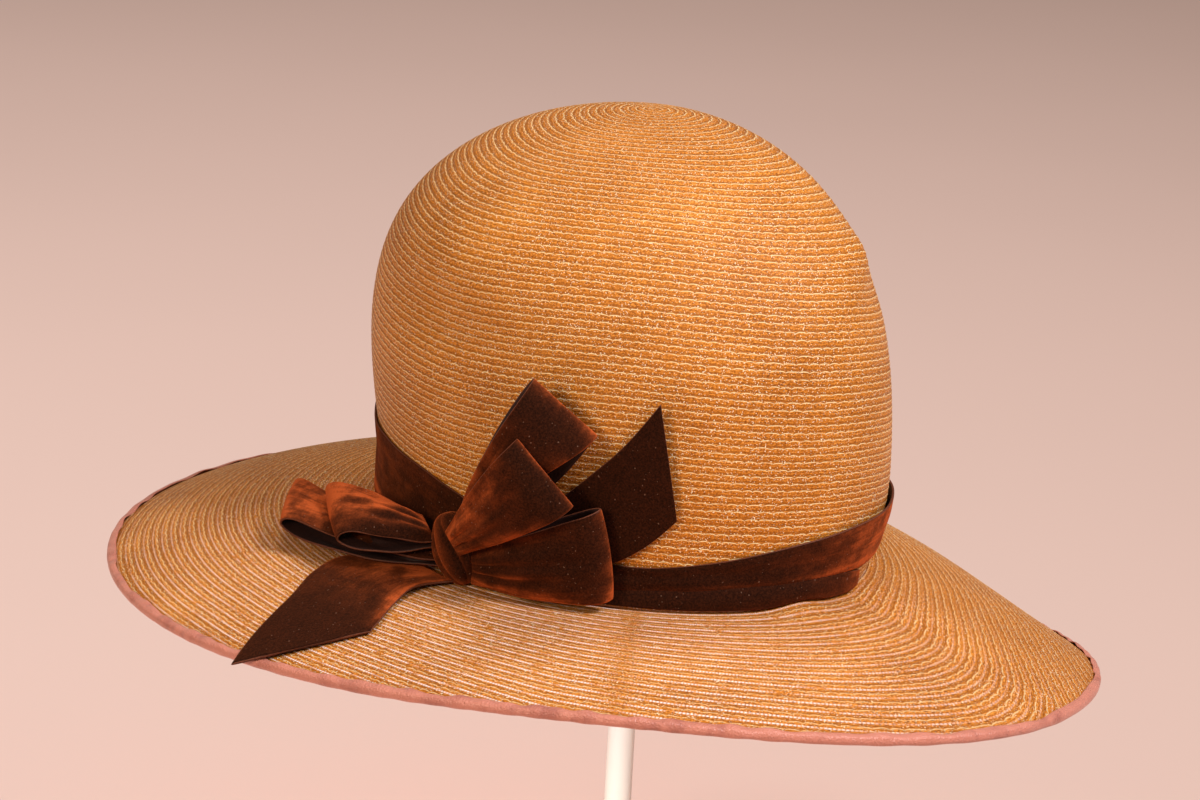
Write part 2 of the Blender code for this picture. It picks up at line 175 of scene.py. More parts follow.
def bell(away, wide):  # 1 at the middle, fading out smoothly
    return np.exp(-(away / wide) ** 2)


def turnBell(turn, centre, wide):
    return bell(besideTurn(turn, centre), wide)


def bumps(rows, turn, place):  # how far a table of soft bumps pushes the straw out, in metres
    value = 0.0
    for row in rows:
        push = row["push"] * turnBell(turn, row["turn"], row["wide"])
        value = value + push * bell(place - row["place"], row["long"])
    return value


def lookUp(rows, column, turn):  # smooth value round the full circle
    value = 0.0
    for row in rows:
        apart = np.radians(turn - row["turn"])
        weight = 1 + 2 * sum(np.cos(wave * apart) for wave in range(1, 5))
        value = value + row[column] * weight / len(rows)
    return value


def along(rows, share):  # smooth values along an open run of rows
    rows = np.array(rows, float)
    place = np.clip(share, 0, 1) * (len(rows) - 1)
    start = np.minimum(place.astype(int), len(rows) - 2)
    part = (place - start)[..., None]
    before, here, there, after = (rows[np.clip(start + step, 0, len(rows) - 1)] for step in (-1, 0, 1, 2))
    ease, leave = there - before, after - here
    square = 3 * (there - here) - ease - 0.5 * leave
    cube = 0.5 * ease + 0.5 * leave - 2 * (there - here)
    return here + 0.5 * part * ease + part ** 2 * square + part ** 3 * cube


def planRadius(turn):
    angle = np.radians(turn)
    power = crownForm["planPower"]
    across = np.abs(np.cos(angle)) / (crownForm["width"] / 2)
    lengthwise = np.abs(np.sin(angle)) / (crownForm["length"] / 2)
    return (across ** power + lengthwise ** power) ** (-1 / power)


def planOutward(turn):
    low, high = np.radians(turn - 0.01), np.radians(turn + 0.01)
    before, after = planRadius(turn - 0.01), planRadius(turn + 0.01)
    alongX = after * np.cos(high) - before * np.cos(low)
    alongY = after * np.sin(high) - before * np.sin(low)
    size = np.hypot(alongX, alongY)
    return np.stack([alongY / size, -alongX / size, 0 * alongX], -1)


def besideCrown(turn, rise, gap=0.0, inset=0.0):  # a point above the headline, pushed out level by the gap
    turn, rise, gap = np.broadcast_arrays(np.asarray(turn, float), rise, gap)
    form = crownForm
    share = np.clip(rise / (form["height"] - inset), 0, 1)
    profile = (1 - share ** form["risePower"]) ** (1 / form["roundPower"])
    profile = profile * (1 - form["nip"] * (1 - share) ** 2)
    radius = (planRadius(turn) - inset) * profile
    lean = rise / form["height"]
    push = share ** form["tipPower"]
    kick = np.clip(1 - np.maximum(rise, 0) / form["kickHeight"], 0, 1) ** 2
    angle = np.radians(turn)
    side, back = (form["lean"][k] * lean + form["tipPush"][k] * push + form["kick"][k] * kick for k in (0, 1))
    point = np.stack([side + radius * np.cos(angle), back + radius * np.sin(angle), headline + rise], -1)
    return point + planOutward(turn) * gap[..., None]


def brimWidth(turn):
    return lookUp(brimTurns, "width", turn) * brimForm["width"]


def brimRowCount(turn):  # eased over a few degrees
    turns, rows = ([row[key] for row in brimRows] for key in ("turn", "rows"))
    return np.mean([np.interp(turn + away, turns, rows, period=360) for away in np.linspace(-3, 3, 13)], 0)


def onBrim(turn, reach, lift=0.0):  # a point along the brim from the headline, lifted square to the straw
    turn, reach, lift = np.broadcast_arrays(np.asarray(turn, float), reach, lift)
    slopeIn = np.radians(lookUp(brimTurns, "slopeIn", turn))
    slopeOut = np.radians(lookUp(brimTurns, "slopeOut", turn))
    bend = (slopeOut - slopeIn) / brimWidth(turn)
    steps = 12
    out = drop = 0.0
    for step in range(steps):
        slope = slopeIn + bend * reach * (step + 0.5) / steps
        out = out + np.cos(slope) * reach / steps
        drop = drop + np.sin(slope) * reach / steps
    slope = slopeIn + bend * reach
    point = besideCrown(turn, 0.0, out + np.sin(slope) * lift)
    point[..., 2] -= drop - np.cos(slope) * lift - bumps(brimSwells, turn, reach)
    return point


def gridNormals(grid, around=False):
    if around:
        rowWay = np.roll(grid, -1, 0) - np.roll(grid, 1, 0)
    else:
        rowWay = np.gradient(grid, axis=0)
    normal = np.cross(rowWay, np.gradient(grid, axis=1))
    size = np.linalg.norm(normal, axis=-1, keepdims=True)
    return normal / np.maximum(size, 1e-12)


def makeMesh(name, points, faces, materials, uv=None, slots=None):
    mesh = bpy.data.meshes.new(name)
    mesh.from_pydata([tuple(point) for point in points], [], faces)
    for material in materials:
        mesh.materials.append(material)
    if slots is not None:
        mesh.polygons.foreach_set("material_index", np.asarray(slots, np.int32))
    if uv is not None:
        layer = mesh.uv_layers.new(name="rows")
        layer.data.foreach_set("uv", np.asarray(uv, np.float32).ravel())
    mesh.shade_smooth()
    mesh.update()
    piece = bpy.data.objects.new(name, mesh)
    bpy.context.scene.collection.objects.link(piece)
    return piece


def addValues(piece, name, values):  # one number for each vertex, for the material to read
    layer = piece.data.attributes.new(name, "FLOAT", "POINT")
    layer.data.foreach_set("value", np.asarray(values, np.float32).ravel())


def finishPiece(piece, node):
    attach(piece, "root")
    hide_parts(node)
    return piece


class Paint:  # short ways to join shader nodes
    def __init__(self, name):
        self.material = bpy.data.materials.new(name)
        self.material.use_nodes = True
        self.tree = self.material.node_tree
        self.shader = self.tree.nodes["Principled BSDF"]
        self.where = self.add("ShaderNodeTexCoord").outputs["Object"]

    def add(self, kind, **settings):
        node = self.tree.nodes.new(kind)
        for key, value in settings.items():
            setattr(node, key, value)
        return node

    def put(self, socket, value):
        if isinstance(value, bpy.types.NodeSocket):
            self.tree.links.new(value, socket)
        else:
            socket.default_value = value

    def calc(self, operation, first, second=0.0, clamp=False):
        node = self.add("ShaderNodeMath", operation=operation, use_clamp=clamp)
        self.put(node.inputs[0], first)
        self.put(node.inputs[1], second)
        return node.outputs[0]

    def times(self, value, *others):
        for other in others:
            value = self.calc("MULTIPLY", value, other)
        return value

    def plus(self, value, *others):
        for other in others:
            value = self.calc("ADD", value, other)
        return value

    def less(self, first, second, clamp=False):
        return self.calc("SUBTRACT", first, second, clamp)

    def wave(self, value):
        return self.calc("SINE", value)

    def flat(self):  # the place on the strip or the straw, laid out flat
        return self.add("ShaderNodeUVMap", uv_map="rows").outputs[0]

    def combine(self, first, second):
        node = self.add("ShaderNodeCombineXYZ")
        self.put(node.inputs[0], first)
        self.put(node.inputs[1], second)
        return node.outputs[0]

    def spread(self, value, low, high, newLow=0.0, newHigh=1.0):  # eased from one range to another
        node = self.add("ShaderNodeMapRange", interpolation_type="SMOOTHSTEP")
        for index, item in enumerate((value, low, high, newLow, newHigh)):
            self.put(node.inputs[index], item)
        return node.outputs[0]

    def noise(self, scale, detail=2.0, roughness=0.5, stretch=None, where=None):
        node = self.add("ShaderNodeTexNoise")
        where = where or self.where
        if stretch:
            mapping = self.add("ShaderNodeMapping")
            self.put(mapping.inputs["Vector"], where)
            mapping.inputs["Scale"].default_value = stretch
            where = mapping.outputs[0]
        self.put(node.inputs["Vector"], where)
        node.inputs["Scale"].default_value = scale
        node.inputs["Detail"].default_value = detail
        node.inputs["Roughness"].default_value = roughness
        return node.outputs["Fac"]

    def mix(self, factor, first, second):
        node = self.add("ShaderNodeMix", data_type="RGBA")
        for index, item in ((0, factor), (6, first), (7, second)):
            self.put(node.inputs[index], (*item, 1.0) if isinstance(item, tuple) else item)
        return node.outputs[2]

    def value(self, name):  # the number that addValues gave each vertex
        return self.add("ShaderNodeAttribute", attribute_name=name).outputs["Fac"]

    def bump(self, height, distance, strength=1.0):
        node = self.add("ShaderNodeBump")
        node.inputs["Distance"].default_value = distance
        node.inputs["Strength"].default_value = strength
        self.put(node.inputs["Height"], height)
        self.put(self.shader.inputs["Normal"], node.outputs[0])

    def finish(self, **sockets):
        for key, value in sockets.items():
            self.put(self.shader.inputs[key], value)
        return self.material


strawColours = {
    "dark": (0.24, 0.066, 0.005),
    "body": (0.61, 0.193, 0.018),
    "light": (0.90, 0.37, 0.060),
    "thread": (1.0, 0.79, 0.43),
    "paintedMeshLight": (1.0, 0.87, 0.86),
    "paintedGlint": (1.0, 0.86, 0.64),
}

strawLook = {  # widths are shares of a row, and lengths are counted in stitches
    "wander": 1.6,  # how far the stitches stray along the row
    "rowShift": 0.382,  # from the stitches of one row to the next row's
    "archFoot": 0.40,  # where the thread dives into the straw
    "archHeight": 0.24,
    "archPower": 0.4,
    "sway": 0.16,
    "threadCore": 0.015,
    "threadEdge": 0.09,
    "threadFade": 0.36,  # on the brim
    "plaits": 4.5,
    "plaitLean": 1.6,
    "lattice": 0.12,
    "fibresLong": 4.0,
    "fibresSlant": 2.5,
    "fibresAcross": 7.0,
    "fibreShare": 0.55,
    "grain": 3.6,
    "clouds": 0.6,
    "toneFrom": 1.64,
    "mesh": (0.53, 0.62, 0.68, 0.79),  # where the open mesh starts and ends
    "ticks": 4.0,
    "tickLean": 6.0,
    "patchLong": 0.75,
    "patchShift": 5.3,
    "crease": 0.72,
    "creaseShadeFade": 0.16,  # how much less painted crease shade on the brim
    "paintedGlints": 0.9,
    "bump": 0.00022,
}


def makeStrawMaterial():
    # Rows run along u, counted in stitches, and v counts the rows
    paint = Paint("sewnStraw")
    look = strawLook
    parts = paint.add("ShaderNodeSeparateXYZ")
    paint.put(parts.inputs[0], paint.flat())
    stitches, rows = parts.outputs[0], parts.outputs[1]
    row = paint.calc("FLOOR", rows)
    across = paint.less(rows, row)
    # Each stitch of the sewing thread is a low arch that dives into the straw at its ends
    shift = paint.times(paint.less(paint.noise(70, 1.0), 0.5), look["wander"])
    place = paint.plus(stitches, shift, paint.times(row, look["rowShift"]))
    arch = paint.calc("ABSOLUTE", paint.wave(paint.times(place, math.pi)))
    arch = paint.calc("POWER", arch, look["archPower"])
    sway = paint.times(paint.less(paint.noise(260, 1.0), 0.5), look["sway"])
    middle = paint.plus(paint.less(look["archFoot"], paint.times(arch, look["archHeight"])), sway)
    fromThread = paint.calc("ABSOLUTE", paint.less(across, middle))
    thread = paint.times(
        paint.spread(fromThread, look["threadCore"], look["threadEdge"], 1.0, 0.0),
        paint.spread(arch, 0.15, 0.7, 0.45, 1.0),
        paint.spread(paint.noise(420, 1.0), 0.30, 0.52, 0.45, 1.0),
        paint.less(1.0, paint.times(paint.value("fine"), look["threadFade"])),
    )
    # Painted shade in the creases between rows, where each row laps over the next
    crease = paint.calc("MAXIMUM", paint.spread(across, 0.75, 0.98), paint.spread(across, 0.0, 0.13, 1.0, 0.0))
    # The plait is a fine lattice, broken up by loose ends that catch the light
    plait = paint.times(stitches, 2 * math.pi * look["plaits"])
    lean = paint.times(across, 2 * math.pi * look["plaitLean"])
    lattice = paint.times(paint.wave(paint.plus(plait, lean)), paint.wave(paint.less(plait, lean)))
    slanted = paint.plus(paint.times(stitches, look["fibresLong"]), paint.times(rows, look["fibresSlant"]))
    fibres = paint.combine(slanted, paint.times(rows, look["fibresAcross"]))
    grain = paint.plus(
        paint.times(paint.noise(1500, 2.0, 0.6), 1 - look["fibreShare"]),
        paint.times(paint.noise(1.0, 2.0, 0.6, where=fibres), look["fibreShare"]),
    )
    tone = paint.plus(
        paint.times(lattice, look["lattice"]),
        paint.times(grain, look["grain"]),
        paint.times(paint.noise(28, 2.0), look["clouds"]),
    )
    tone = paint.less(tone, look["toneFrom"], clamp=True)
    colour = paint.mix(paint.spread(tone, 0.0, 0.5), strawColours["dark"], strawColours["body"])
    colour = paint.mix(paint.spread(tone, 0.45, 1.0), colour, strawColours["light"])
    # Where the brim is thin, the open mesh in the middle of each row is painted pale, standing in for the light that
    # shows through it
    meshFrom, meshFull, meshLeave, meshEnd = look["mesh"]
    slant = paint.plus(paint.times(stitches, 2 * math.pi * look["ticks"]), paint.times(across, look["tickLean"]))
    dashes = paint.combine(paint.times(stitches, look["patchLong"]), paint.times(row, look["patchShift"]))
    paintedMeshLight = paint.times(
        paint.spread(across, meshFrom, meshFull),
        paint.spread(across, meshLeave, meshEnd, 1.0, 0.0),
        paint.spread(paint.wave(slant), -0.8, 0.3, 0.25, 1.0),
        paint.spread(paint.noise(1.0, 2.0, where=dashes), 0.26, 0.54),
        paint.value("open"),
    )
    colour = paint.mix(paintedMeshLight, colour, strawColours["paintedMeshLight"])
    # the creases between rows take painted shade
    creaseShadeShare = paint.less(look["crease"], paint.times(paint.value("fine"), look["creaseShadeFade"]))
    colour = paint.mix(paint.times(crease, creaseShadeShare), colour, strawColours["dark"])
    # Painted glints: small pale spots mixed into the colour; the same spots are also made glossier
    paintedGlints = paint.spread(paint.noise(1900, 0.0), 0.69, 0.76)
    colour = paint.mix(paint.times(paintedGlints, look["paintedGlints"]), colour, strawColours["paintedGlint"])
    colour = paint.mix(thread, colour, strawColours["thread"])
    # Darker marks: a stain on the brim and a faint line up the crown, together with painted shade in the crown's
    # dent, on the brim's right and at the brim's edge
    colour = paint.mix(paint.value("stainAndShade"), colour, strawColours["dark"])
    height = paint.plus(paint.times(thread, 0.9), paint.times(lattice, 0.25), grain)
    paint.bump(height, look["bump"], 0.8)
    gloss = paint.spread(paint.plus(paint.times(paintedGlints, -0.4), grain), 0.0, 1.0, 0.34, 0.62)
    return paint.finish(**{"Base Color": colour, "Roughness": gloss, "Specular IOR Level": 0.18})


strawMaterial = makeStrawMaterial()
print("straw material made")

strawRow = {
    "points": (0.0, 0.14, 0.45, 0.82),  # where the points of each row lie across it
    "roundness": 0.6,
}


def rowRelief(rows, height, step):  # each row is a soft ridge that laps over the next
    across = rows % 1
    return height * np.sin(np.pi * across) ** strawRow["roundness"] + step * (1 - across)


def strawFaces(columns, rings, start, flip):
    column, ring = np.meshgrid(np.arange(columns), np.arange(rings - 1), indexing="ij")
    here = start + column * rings + ring
    there = start + ((column + 1) % columns) * rings + ring
    faces = np.stack([here, there, there + 1, here + 1], -1).reshape(-1, 4)
    return faces[:, ::-1] if flip else faces


def strawUv(rows, stitches, flip):  # rows has a value for each point, stitches one for each row or for all
    columns, rings = rows.shape
    column, ring = np.meshgrid(np.arange(columns), np.arange(rings - 1), indexing="ij")
    after = (column + 1) % columns
    perRow = stitches[np.minimum(rows[column, ring].astype(int), len(stitches) - 1)]
    near, far = column / columns * perRow, (column + 1) / columns * perRow
    pairs = (
        (near, rows[column, ring]), (far, rows[after, ring]),
        (far, rows[after, ring + 1]), (near, rows[column, ring + 1]),
    )
    corners = np.stack([np.stack(pair, -1) for pair in pairs], 2)
    corners = corners.reshape(-1, 4, 2)
    return corners[:, ::-1] if flip else corners


def strawWall(name, outer, inner, outerRows, innerRows, stitches, rims):
    # Outer and inner grids run round by column and across by ring. Rims say which ends are joined.
    columns, rings = outer.shape[:2]
    start = columns * rings
    faces = [strawFaces(columns, rings, 0, False), strawFaces(columns, inner.shape[1], start, True)]
    outerRows = np.broadcast_to(outerRows, outer.shape[:2])
    innerRows = np.broadcast_to(innerRows, inner.shape[:2])
    uvs = [strawUv(outerRows, stitches, False), strawUv(innerRows, stitches, True)]
    column = np.arange(columns)
    after = (column + 1) % columns
    for end in rims:
        out = end % rings
        into = end % inner.shape[1]
        corners = [after * rings + out, column * rings + out]
        corners += [start + column * inner.shape[1] + into, start + after * inner.shape[1] + into]
        rim = np.stack(corners, -1)
        faces.append(rim if end == 0 else rim[:, ::-1])
        uvs.append(np.zeros((columns, 4, 2)) + [0.0, 0.95])  # in a crease, so that the cut edge takes the painted crease shade
    points = np.concatenate([outer.reshape(-1, 3), inner.reshape(-1, 3)])
    return makeMesh(name, points, np.concatenate(faces).tolist(), [strawMaterial], np.concatenate(uvs))


def rowStitches(grid, shares, count, stitch):  # whole stitches round each row, so that the ends meet
    rings = [int(np.argmin(np.abs(shares - row - 0.5))) for row in range(count)]
    rounds = [np.linalg.norm(np.roll(grid[:, ring], -1, 0) - grid[:, ring], axis=-1).sum() for ring in rings]
    return np.maximum(4, np.round(np.array(rounds) / stitch))


def crownGrid(turns, shares, inset):
    # Rows keep their distance from the tip, until they turn level with the headline.
    count = crownForm["rows"]
    fall = np.linspace(0, 1, 500) ** 2
    height = crownForm["height"] - inset
    grid = np.zeros((len(turns), len(shares), 3))
    reaches = []
    for turn in turns:
        line = besideCrown(np.full(len(fall), turn), height * (1 - fall), 0.0, inset)
        reaches.append(np.concatenate([[0], np.cumsum(np.linalg.norm(np.diff(line, axis=0), axis=1))]))
    pitch = np.mean([reach[-1] for reach in reaches]) / count
    for index, (turn, reach) in enumerate(zip(turns, reaches)):
        part = np.clip((shares / count - crownForm["blendFrom"]) / (1 - crownForm["blendFrom"]), 0, 1)
        part = part * part * (3 - 2 * part)
        travel = shares * pitch * (1 + part * (reach[-1] / (count * pitch) - 1))
        grown = np.clip(shares / count / crownForm["sinkFull"], 0, 1)
        grown = grown * grown * (3 - 2 * grown) * (1 - (shares / count) ** crownForm["sinkPower"])
        travel = travel + grown * lookUp(rowSink, "sink", turn)
        rise = height * (1 - np.interp(travel, reach, fall))
        grid[index] = besideCrown(np.full(len(rise), turn), rise, 0.0, inset)
    return grid


def makeStrawCrown():
    form, marks = crownForm, crownMarks
    turns = roundTurns(form["around"])
    shares = [row + point for row in range(form["rows"]) for point in strawRow["points"]]
    shares = np.array(shares + [form["rows"]])
    relief = rowRelief(shares, form["rowHeight"], form["rowStep"])
    relief[-1] = 0
    shares[0] = form["eye"]
    innerShares = np.maximum(np.arange(form["rows"] + 1.0), form["eye"])
    outer = crownGrid(turns, shares, 0.0)
    inner = crownGrid(turns, innerShares, form["wall"])
    dent = bumps(crownDents, turns[:, None], outer[..., 2] - headline)
    innerDent = bumps(crownDents, turns[:, None], inner[..., 2] - headline)
    outer -= gridNormals(outer, around=True) * (relief + dent)[..., None]
    inner -= gridNormals(inner, around=True) * innerDent[..., None]
    stitches = rowStitches(outer, shares, form["rows"], form["stitch"])
    piece = strawWall("strawCrown", outer, inner, shares, np.arange(form["rows"] + 1.0), stitches, (-1,))
    points = len(piece.data.vertices)
    print("crown points", points)
    rise = outer[..., 2] - headline
    line = marks["lineTurn"] - marks["lineLean"] * (rise - marks["lineRise"])
    line = marks["lineShare"] * turnBell(turns[:, None], line, marks["lineWide"])
    line = line * np.clip((rise - marks["lineFrom"]) / marks["lineFade"], 0, 1)
    # painted shade in the dent at the left
    dentShade = marks["dentShadeShare"] * turnBell(turns[:, None], marks["dentShadeTurn"], marks["dentShadeWide"])
    dentShade = dentShade * bell(rise - marks["dentShadeRise"], marks["dentShadeTall"])
    addValues(piece, "open", np.zeros(points))
    addValues(piece, "fine", np.zeros(points))
    addValues(piece, "stainAndShade", np.concatenate([(line + dentShade).ravel(), np.zeros(points - rise.size)]))
    return finishPiece(piece, "crown")


def makeStrawBrim():
    form = brimForm
    turns = roundTurns(form["around"])
    width = brimWidth(turns)[:, None] - form["seam"]
    count = brimRowCount(turns)[:, None]
    shares = np.linspace(0, 1, form["rings"] + 1)
    underShares = np.linspace(0, 1, form["ringsUnder"] + 1)
    rim = np.clip((1 - shares) * form["rings"] / 2, 0, 1)  # flattens the last rows, under the satin
    relief = rowRelief(shares * count, form["rowHeight"], form["rowStep"]) * rim
    outer = onBrim(turns[:, None], form["seam"] + width * shares, relief)
    inner = onBrim(turns[:, None], form["seam"] + width * underShares, -form["wall"])
    stitches = np.array([form["stitches"]])
    piece = strawWall("strawBrim", outer, inner, shares * count, underShares * count, stitches, (0, -1))
    points = len(piece.data.vertices)
    print("brim points", points)
    stainAndShade = turnBell(turns, form["stainTurn"], form["stainWide"])[:, None]
    # how much painted light shows through the open mesh, less where the stain covers it
    openness = np.clip(lookUp(brimTurns, "open", turns)[:, None], 0, 1) * (1 - form["stainShut"] * stainAndShade)
    # painted shade on the straw at the right, where the brim slopes away from the light
    paintedShade = turnBell(turns, form["paintedShadeTurn"], form["paintedShadeWide"])[:, None]
    stainAndShade = form["stainAndShadeShare"] * (stainAndShade + form["paintedShadeShare"] * paintedShade)
    # painted shade along the edge beside the satin, which also covers the painted mesh light
    edge = form["edgePaintedShade"] * bell(1 - shares, form["edgeWide"])
    under = np.zeros(inner.shape[:2])
    addValues(piece, "open", np.concatenate([(openness * (1 - edge)).ravel(), (openness + under).ravel()]))
    addValues(piece, "fine", np.ones(points))
    addValues(piece, "stainAndShade", np.concatenate([(stainAndShade + (1 - stainAndShade) * edge).ravel(), under.ravel()]))
    return finishPiece(piece, "brim")


makeStrawCrown()
makeStrawBrim()
print("straw made")

satin = {
    "over": 0.0027,  # how far it folds over the straw
    "under": 0.0052,
    "gap": 0.0002,
    "rowRoom": 0.0003,  # above the straw's rows
    "thickness": 0.0006,
    "roll": 0.0009,  # how far the fold stands out past the straw
    "puff": 0.0003,
    "sag": 0.0002,
    "around": 900,
    "sections": 25,
    "puckers": ((0.00030, 97, 2.0, 5), (0.00028, 61, 3.0, 3)),  # height, waves round the hat, and their sway
    "wobbles": ((0.0005, 23, 1.5, 7), (0.0003, 41, 0.0, 1)),
    "colour": (0.65, 0.235, 0.165),
    "shade": (0.44, 0.140, 0.100),
}


def unevenWaves(rows, turns):
    wave = np.radians(turns)[:, None]
    return sum(height * np.sin(count * wave + sway * np.sin(slow * wave)) for height, count, sway, slow in rows)


def makeSatinMaterial():
    paint = Paint("pinkSatin")
    slubs = paint.noise(90, 3.0)
    fine = paint.noise(1400, 1.0)
    colour = paint.mix(paint.spread(slubs, 0.27, 0.52), satin["shade"], satin["colour"])
    paint.bump(paint.plus(paint.times(slubs, 3.0), fine), 0.0006, 0.8)
    return paint.finish(**{
        "Base Color": colour, "Roughness": 0.38, "Sheen Weight": 0.15, "Sheen Tint": (1.0, 0.7, 0.6, 1.0),
    })


def makeRibbon(name, grid, thickness, materials, around=False, flip=False, nap=1.0):
    # A soft strip with round edges. The grid runs along the strip and then across it, and the
    # materials are the front's, the back's and the edges'.
    sections, across = grid.shape[:2]
    normal = gridNormals(grid, around)
    if flip:
        normal = -normal
    part = np.linspace(-1, 1, across)
    half = thickness / 2 * np.sqrt(np.clip(1 - np.abs(part) ** ribbon["edgePower"], 0, 1))[None, :, None]
    front, back = grid + normal * half, grid - normal * half
    points = np.concatenate([front.reshape(-1, 3), back[:, 1:-1].reshape(-1, 3)])
    total = sections * across
    backIndex = np.zeros((sections, across), int)
    frontIndex = np.arange(total).reshape(sections, across)
    backIndex[:, 1:-1] = total + np.arange(sections * (across - 2)).reshape(sections, across - 2)
    backIndex[:, 0], backIndex[:, -1] = frontIndex[:, 0], frontIndex[:, -1]
    faces, slots, uvs = [], [], []
    lengths = np.concatenate([[0], np.cumsum(np.linalg.norm(np.diff(grid[:, across // 2], axis=0), axis=1))])
    step = np.linalg.norm(np.diff(grid, axis=1), axis=2).mean(0)
    widths = np.concatenate([[0], np.cumsum(step)])
    for section in range(sections if around else sections - 1):
        after = (section + 1) % sections
        end = lengths[after] if after else lengths[-1] + lengths[1]
        for column in range(across - 1):
            flat = (
                (lengths[section], widths[column]), (lengths[section], widths[column + 1]),
                (end, widths[column + 1]), (end, widths[column]),
            )
            edge = column in (0, across - 2)
            for side, (index, straight) in enumerate(((frontIndex, flip), (backIndex, not flip))):
                near, far = index[section, column:column + 2], index[after, column:column + 2]
                corners = (near[0], near[1], far[1], far[0])
                order = (0, 1, 2, 3) if straight else (0, 3, 2, 1)
                faces.append(tuple(corners[corner] for corner in order))
                uvs.extend(flat[corner] for corner in order)
                slots.append(2 if edge else side)
    if not around:
        for section in (0, sections - 1):
            loop = list(frontIndex[section]) + list(backIndex[section, 1:-1][::-1])
            if (section == 0) == flip:
                loop = loop[::-1]
            faces.append(tuple(loop))
            uvs.extend([(lengths[section], 0.0)] * len(loop))
            slots.append(2)
    faces = [tuple(int(index) for index in face) for face in faces]
    piece = makeMesh(name, points, faces, materials, uvs, slots)
    # how much painted sheen each vertex takes
    nap = np.broadcast_to(nap, (sections, across))
    addValues(piece, "nap", np.concatenate([nap.ravel(), nap[:, 1:-1].ravel()]))
    return piece


def edgeShares(count, edge=0.03):  # places across a strip, closer together at its edges
    inside = np.linspace(edge, 1 - edge, count - 4)
    return np.concatenate([[0, edge / 4], inside, [1 - edge / 4, 1]])


def makeBinding():
    turns = roundTurns(satin["around"])
    away = satin["gap"] + satin["thickness"] / 2
    over, under, roll, puff, sag = (satin[key] for key in ("over", "under", "roll", "puff", "sag"))
    top, low = satin["rowRoom"] + away, -brimForm["wall"] - away
    middle = (top + low) / 2
    profile = (  # reach past the straw's edge, and lift
        (-over, top), (-0.7 * over, top + puff), (-0.35 * over, top + 4 / 3 * puff), (0.0, top + puff),
        (0.6 * roll, top - 0.2 * (top - middle)), (roll, middle), (0.6 * roll, low + 0.2 * (middle - low)),
        (0.0, low - sag / 2), (-0.35 * under, low - sag), (-0.7 * under, low - sag), (-under, low),
    )
    reach, lift = along(profile, np.linspace(0, 1, satin["sections"])).T
    inner = np.clip(-reach / over, 0, 1)
    wobble = unevenWaves(satin["wobbles"], turns) * inner
    pucker = unevenWaves(satin["puckers"], turns) * np.sign(lift - middle) * (0.3 + 0.7 * inner)
    grid = onBrim(turns[:, None], brimWidth(turns)[:, None] + reach + wobble, lift + pucker)
    piece = makeRibbon("satinBinding", grid, satin["thickness"], [satinMaterial] * 3, around=True, flip=True)
    return finishPiece(piece, "brim_binding")


satinMaterial = makeSatinMaterial()
makeBinding()
print("binding made")

velvetColours = {
    "dark": (0.0085, 0.0025, 0.0010),
    "pile": (0.050, 0.0125, 0.0046),
    # the colour of the painted sheen
    "paintedSheenColour": (0.50, 0.095, 0.022),
    "lint": (0.45, 0.26, 0.18),
    "back": (0.036, 0.011, 0.008),
    # the edges' colour: the selvedge, lightened to paint the highlight along each edge
    "selvedgeAndPaintedRim": (0.16, 0.042, 0.017),
}

velvetLook = {"facing": 0.38, "paintedSheenPower": 1.5, "streaks": (60, 420, 1), "lint": 0.35, "bump": 0.0003}


def makeVelvetMaterial():
    paint = Paint("brownVelvet")
    look = velvetLook
    facing = paint.add("ShaderNodeLayerWeight")
    facing.inputs["Blend"].default_value = look["facing"]
    crush = paint.noise(120, 3.0, 0.6)
    pile = paint.noise(1300, 3.0, 0.75)
    streaks = paint.noise(1.0, 2.0, 0.6, look["streaks"], paint.flat())
    base = paint.mix(paint.spread(pile, 0.25, 0.80), velvetColours["dark"], velvetColours["pile"])
    # Painted sheen: an orange-brown colour mixed in where the surface turns away from the view, as much as each
    # vertex's given value says
    rim = paint.times(
        paint.calc("POWER", facing.outputs["Facing"], look["paintedSheenPower"]),
        paint.value("nap"),
        paint.spread(crush, 0.33, 0.67, 0.42, 1.30),
        paint.spread(streaks, 0.32, 0.68, 0.65, 1.3),
    )
    rim = paint.calc("MULTIPLY", rim, paint.spread(pile, 0.3, 0.7, 0.70, 1.2), clamp=True)
    colour = paint.mix(rim, base, velvetColours["paintedSheenColour"])
    lint = paint.spread(paint.noise(1200, 0.0), 0.80, 0.86)
    colour = paint.mix(paint.times(lint, look["lint"]), colour, velvetColours["lint"])
    paint.bump(paint.plus(paint.times(crush, 2.5), pile), look["bump"], 0.7)
    return paint.finish(**{
        "Base Color": colour, "Roughness": 0.9, "Specular IOR Level": 0.06, "Sheen Weight": 0.22,
        "Sheen Roughness": 0.35, "Sheen Tint": (0.85, 0.22, 0.06, 1.0),
    })


def makeRibbonBackMaterial(name, colour):
    paint = Paint(name)
    fine = paint.noise(1500, 1.0)
    shade = tuple(0.6 * part for part in colour)
    paint.bump(fine, 0.0002, 0.5)
    mottled = paint.mix(paint.spread(fine, 0.3, 0.7), shade, colour)
    return paint.finish(**{"Base Color": mottled, "Roughness": 0.6, "Specular IOR Level": 0.3})


velvetMaterials = [
    makeVelvetMaterial(),
    makeRibbonBackMaterial("ribbonBack", velvetColours["back"]),
    makeRibbonBackMaterial("selvedgeAndPaintedRim", velvetColours["selvedgeAndPaintedRim"]),
]

